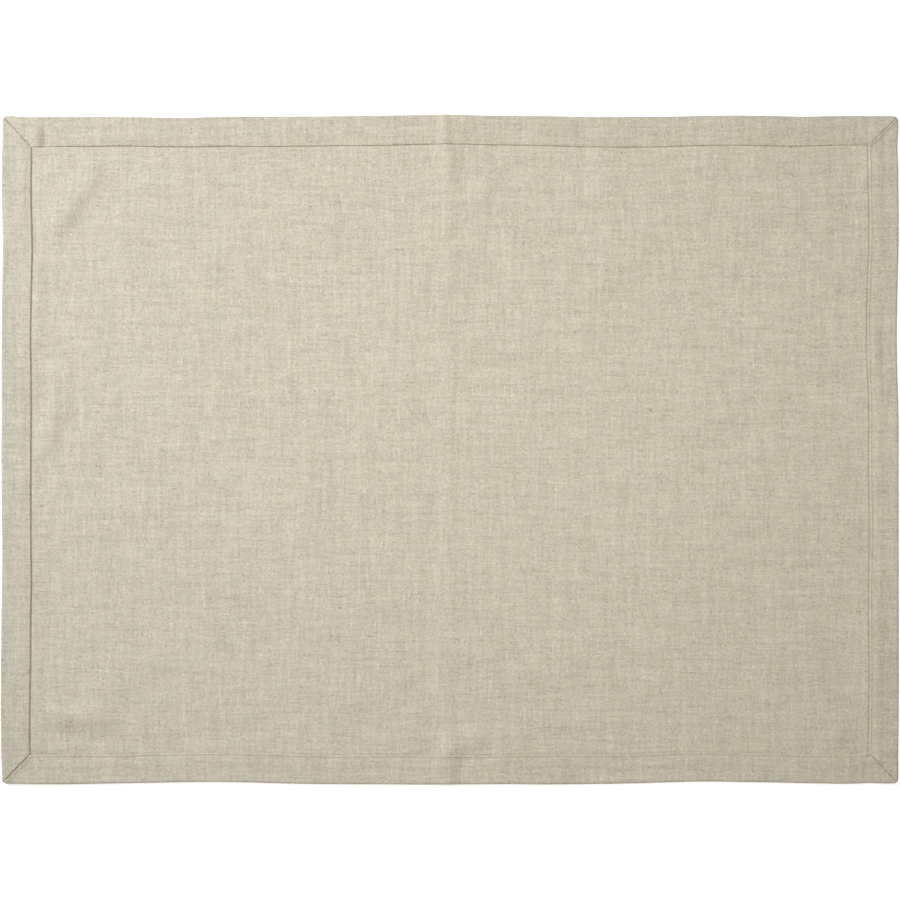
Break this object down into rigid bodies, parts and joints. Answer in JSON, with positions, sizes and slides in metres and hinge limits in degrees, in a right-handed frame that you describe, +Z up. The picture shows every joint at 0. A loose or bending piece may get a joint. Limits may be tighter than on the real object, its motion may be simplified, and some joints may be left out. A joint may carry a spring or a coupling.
{
  "type": "place mat",
  "caption": "Rectangular linen place mat lying flat, with a mitred hem turned onto the upper face, a fold crease down its middle and soft puckers by its corners.",
  "frame": {"origin": "middle of the mat's bounding box, on the surface that it lies on", "axes": "+X along the long sides, +Y along the short sides, +Z up out of the face with the hems"},
  "size_m": [0.4839, 0.3609, 0.0032],
  "materials": {
    "linen": "plain-woven undyed linen with slubs, matt, edge-stitched in matching thread"
  },
  "bodies": {
    "root": {"cloth": "linen"}
  },
  "joints": []
}
